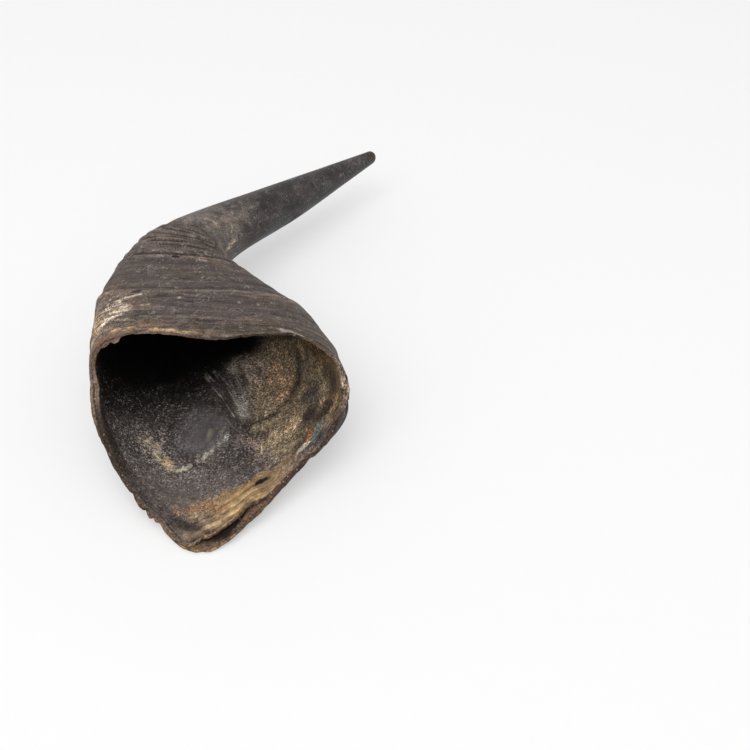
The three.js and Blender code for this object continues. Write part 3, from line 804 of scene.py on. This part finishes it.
# ------------------------------------------------------------------ the finishes
class Finish:
    """A material and short calls for its nodes."""

    def __init__(self, name):
        self.material = bpy.data.materials.new(name)
        self.material.use_nodes = True
        self.tree = self.material.node_tree
        self.shader = self.tree.nodes["Principled BSDF"]
        self.place = self.add("ShaderNodeTexCoord").outputs["Object"]

    def add(self, kind, inputs=None, **settings):
        """Adds a node. An input is another node's output, or a constant."""
        node = self.tree.nodes.new(kind)
        for name, value in settings.items():
            setattr(node, name, value)
        for name, value in (inputs or {}).items():
            self.set(node.inputs[name], value)
        return node

    def set(self, socket, value):
        """Joins an output to a socket, or gives the socket a constant."""
        if isinstance(value, bpy.types.NodeSocket):
            self.tree.links.new(value, socket)
        else:
            socket.default_value = value

    def give(self, name, value):
        """Sets one of the shader's own sockets."""
        self.set(self.shader.inputs[name], value)

    def read(self, name, output="Fac"):
        """An attribute of the mesh."""
        return self.add("ShaderNodeAttribute", attribute_name=name).outputs[output]

    def noise(self, scale, detail=3, rough=0.55, over=None):
        """Fractal noise from 0 to 1 over a vector, which is the place itself if none is given."""
        inputs = {"Vector": over or self.place, "Scale": scale, "Detail": detail, "Roughness": rough}
        return self.add("ShaderNodeTexNoise", inputs).outputs["Fac"]

    def remap(self, value, low, high, to_low, to_high):
        """A value between low and high as one between to_low and to_high, held at both ends."""
        inputs = {"Value": value, "From Min": low, "From Max": high, "To Min": to_low, "To Max": to_high}
        return self.add("ShaderNodeMapRange", inputs).outputs["Result"]

    def math(self, operation, total, *others):
        """The first value joined to each of the others in turn."""
        for other in others:
            total = self.add("ShaderNodeMath", {0: total, 1: other}, operation=operation).outputs[0]
        return total

    def times(self, *values):
        """The product of all the values."""
        return self.math("MULTIPLY", *values)

    def plus(self, *values):
        """The sum of all the values."""
        return self.math("ADD", *values)

    def most(self, *values):
        """The largest of the values."""
        return self.math("MAXIMUM", *values)

    def mix(self, share, first, second):
        """The first value where the share is 0, and the second where it is 1."""
        return self.add("ShaderNodeMix", {0: share, 2: first, 3: second}).outputs[0]

    def calls(self):
        """The four calls that every horn finish uses most."""
        return self.noise, self.remap, self.times, self.plus

    def winding(self, scale, wide):
        """1 on thin winding lines, where swirled noise is close to its middle value, and 0 off them."""
        inputs = {"Vector": self.place, "Scale": scale, "Detail": 4, "Distortion": 1.6}
        return self.line(self.add("ShaderNodeTexNoise", inputs).outputs["Fac"], 0.5, 0, wide)

    def specks(self, scale, size, above):
        """1 on small round specks and 0 off them. Only cells whose random shade is above a level
        have one."""
        cells = self.add("ShaderNodeTexVoronoi", {"Vector": self.place, "Scale": scale})
        dots = self.remap(cells.outputs["Distance"], size * 0.5, size, 1, 0)
        return self.times(dots, self.math("GREATER_THAN", cells.outputs["Color"], above))

    def marks(self):
        """The two marks that the mesh carries: they differ between the skin and the hollow."""
        return self.add("ShaderNodeSeparateXYZ", {"Vector": self.read("marks", "Vector")}).outputs[:2]

    def line(self, value, middle, half, reach):
        """1 within half of the middle value, falling to 0 at its reach."""
        away = self.math("ABSOLUTE", self.math("SUBTRACT", value, middle), 0)
        return self.remap(away, half, reach, 1, 0)

    def toned(self, shade, dust):
        """The painted tone times a shade, the shade's contrast as the mesh asks, with pale dust."""
        contrast = self.times(self.math("SUBTRACT", shade, MEAN_SHADE), self.read("contrast"))
        inputs = {0: self.read("tone", "Color"), 3: self.most(self.plus(contrast, MEAN_SHADE), LEAST_SHADE)}
        tone = self.add("ShaderNodeVectorMath", inputs, operation="SCALE").outputs[0]
        mixed = {0: self.times(dust, self.read("dusty")), 6: tone, 7: (*DUST, 1)}
        return self.add("ShaderNodeMix", mixed, data_type="RGBA").outputs[2]

    def bump(self, height, distance):
        """Raises the shader's surface by the height times the distance in millimetres."""
        node = self.add("ShaderNodeBump", {"Height": height, "Strength": 1.0, "Distance": distance * MM})
        self.give("Normal", node.outputs["Normal"])


def skin_finish():
    """Grown horn: dark lines round it, fine lengthwise fibres and dull scale on the body, and a
    smoother polish on the spike."""
    finish = Finish("horn_skin")
    noise, remap, times, plus = finish.calls()
    rings, fibres = finish.read("rings", "Vector"), finish.read("fibres", "Vector")
    body = finish.read("body")
    lines, broad = noise(1.1, 5, 0.65, rings), noise(0.42, 3, 0.6, rings)
    grit, blotches = noise(900, 3, 0.6), noise(170, 4, 0.65)
    zones = times(remap(noise(0.17, 2, over=rings), 0.4, 0.58, 0.1, 1),
                  remap(noise(24, 2), 0.42, 0.56, 0.15, 1))
    ringed = times(remap(lines, 0.4, 0.62, 0.8, 1.2), remap(broad, 0.4, 0.6, 0.72, 1.3))
    scaly = times(remap(broad, 0.35, 0.65, 0.88, 1.12), remap(blotches, 0.38, 0.62, 0.7, 1.34))
    swirls = times(finish.winding(60, 0.03), remap(noise(60, 2), 0.4, 0.55, 0, 1.3))
    polished = times(remap(noise(85, 5, 0.7), 0.4, 0.6, 0.55, 1.45), plus(swirls, 1))
    behind, hole = finish.marks()
    behind = plus(behind, remap(noise(120), 0.3, 0.7, -1.2, 1.2))
    crack = times(finish.line(behind, *CRACK), remap(blotches, 0.4, 0.52, -0.12, -0.42))
    edge = times(finish.line(behind, *WORN_EDGE), remap(blotches, 0.42, 0.55, 0, 0.8))
    # Inside the small holes the shade goes black: painted shade.
    shade = times(finish.mix(body, polished, finish.mix(zones, scaly, ringed)),
                  remap(grit, 0.4, 0.62, 0.66, 1.34),
                  remap(noise(0.9, over=fibres), 0.38, 0.62, 0.95, 1.05),
                  plus(crack, edge, 1),
                  remap(hole, 0.7, 1.3, -0.6, 1))
    scratches = times(finish.winding(110, 0.022), remap(noise(150, 2), 0.52, 0.6, 0, 0.9))
    dust = finish.most(finish.specks(300, 0.17, 0.6), finish.specks(520, 0.16, 0.62), scratches)
    finish.give("Base Color", finish.toned(shade, dust))
    finish.give("Roughness", plus(finish.read("dull"), remap(grit, 0.3, 0.7, -0.08, 0.08)))
    finish.give("Specular IOR Level", 0.35)
    finish.bump(plus(times(lines, remap(body, 0, 1, 0.3, 1.2)),
                     times(grit, remap(body, 0, 1, 0.15, 0.35))), 0.7)
    return finish.material


def rim_finish():
    """Broken horn edge: rough layers with crumbs."""
    finish = Finish("horn_broken_edge")
    noise, remap, times, plus = finish.calls()
    grit, layers = noise(750, 4, 0.65), noise(1.6, over=finish.read("rings", "Vector"))
    shade = times(remap(grit, 0.35, 0.65, 0.42, 1.6), remap(layers, 0.35, 0.65, 0.6, 1.4))
    finish.give("Base Color", finish.toned(shade, finish.specks(420, 0.25, 0.55)))
    finish.give("Roughness", 0.82)
    finish.give("Specular IOR Level", 0.25)
    finish.bump(plus(grit, layers), 0.8)
    return finish.material


def hollow_finish():
    """The inside: streaks along the horn, fine specks, dust that lies in patches and is drawn out
    in streaks in the middle, and a little gloss where it is worn."""
    finish = Finish("horn_hollow")
    noise, remap, times, plus = finish.calls()
    threads = noise(1, 4, 0.6, finish.read("fibres", "Vector"))
    rings = noise(0.34, over=finish.read("rings", "Vector"))
    grit, flecks, blotches = noise(900, 3, 0.7), noise(620, 2), noise(170, 4, 0.7)
    speckled = times(remap(threads, 0.38, 0.62, 0.85, 1.15),
                     remap(grit, 0.4, 0.62, 0.35, 1.8),
                     remap(blotches, 0.38, 0.62, 0.8, 1.22),
                     remap(flecks, 0.5, 0.66, 0.92, 1.8),
                     plus(times(finish.winding(190, 0.035), -0.5), 1))
    layers = times(remap(rings, 0.4, 0.6, 0.5, 1.3),
                   remap(grit, 0.4, 0.62, 0.8, 1.2),
                   remap(blotches, 0.38, 0.62, 0.7, 1.3))
    powder, silky = finish.marks()
    crumbs = plus(noise(620, 4, 0.8), times(powder, 0.07))
    dust = finish.most(finish.specks(420, 0.22, 0.56), finish.specks(700, 0.22, 0.58),
                       remap(crumbs, 0.57, 0.68, 0, 0.8))
    dust = times(dust, finish.most(remap(noise(75, 3, 0.6), 0.4, 0.56, 0.35, 1.6), powder))
    inputs = {"Vector": finish.place, "Angle": STREAK_TURN * DEGREE}
    turned = finish.add("ShaderNodeVectorRotate", inputs, rotation_type="Z_AXIS").outputs[0]
    inputs = {0: turned, 1: STREAK_SCALES}
    drawn = finish.add("ShaderNodeVectorMath", inputs, operation="MULTIPLY").outputs[0]
    streaks = times(remap(noise(1, 3, 0.6, drawn), 0.54, 0.64, 0, 1), remap(blotches, 0.4, 0.55, 0.2, 1))
    shade = finish.mix(finish.read("body"), speckled, layers)
    finish.give("Base Color", finish.toned(shade, finish.mix(silky, dust, streaks)))
    finish.give("Roughness", plus(finish.read("dull"), remap(grit, 0.3, 0.7, -0.12, 0.12)))
    finish.give("Specular IOR Level", 0.3)
    finish.bump(plus(times(threads, 0.5), grit), 0.5)
    return finish.material


def floor_finish():
    """Pale even paper, a little light shining through it from below."""
    finish = Finish("paper")
    shades = [(tone, tone, tone, 1) for tone in (FLOOR_TONE, FLOOR_TONE + 0.01)]
    inputs = {0: finish.noise(90, 2), 6: shades[0], 7: shades[1]}
    finish.give("Base Color", finish.add("ShaderNodeMix", inputs, data_type="RGBA").outputs[2])
    finish.give("Emission Color", (1, 1, 1, 1))
    finish.give("Emission Strength", FLOOR_GLOW)
    finish.give("Roughness", 0.95)
    finish.give("Specular IOR Level", 0.1)
    return finish.material


# ------------------------------------------------------------------ camera, light and floor
def add_camera():
    """Looks down at 42 degrees from in front of the mouth, a little to the right."""
    data = bpy.data.cameras.new("view")
    data.lens = LENS
    data.clip_end = 20
    camera = put("view", data)
    camera.location = CAMERA_PLACE
    camera.rotation_euler = (CAMERA_TILT * DEGREE, 0, 0)
    bpy.context.scene.camera = camera


def add_light():
    """A wide lamp overhead and an even white surround."""
    scene = bpy.context.scene
    world = bpy.data.worlds.new("surround")
    world.use_nodes = True
    surround = world.node_tree.nodes["Background"]
    surround.inputs["Color"].default_value = (1, 1, 1, 1)
    surround.inputs["Strength"].default_value = SURROUND
    scene.world = world
    data = bpy.data.lights.new("overhead", "AREA")
    data.size = LAMP_SIZE
    data.energy = LAMP_POWER
    lamp = put("overhead", data)
    lamp.location = LAMP_PLACE
    aim = np.array(LAMP_AIM) - np.array(LAMP_PLACE)
    lamp.rotation_euler = (math.atan2(math.hypot(aim[0], aim[1]), -aim[2]), 0,
                           math.atan2(aim[1], aim[0]) - math.pi / 2)
    scene.view_settings.view_transform = "Standard"


def add_floor():
    """A flat square just under the horn, as wide as the view needs."""
    corners = np.array([(-1, -1, 0), (1, -1, 0), (1, 1, 0), (-1, 1, 0)]) * FLOOR_HALF - (0, 0, FLOOR_GAP)
    floor = put_mesh("floor", corners / MM, [(0, 1, 2, 3)], np.zeros(1))
    floor.data.materials.append(floor_finish())


add_camera()
horn = horn_piece()
for finish in (skin_finish(), rim_finish(), hollow_finish()):
    horn.data.materials.append(finish)
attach(horn, "root")
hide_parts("horn")
add_light()
add_floor()
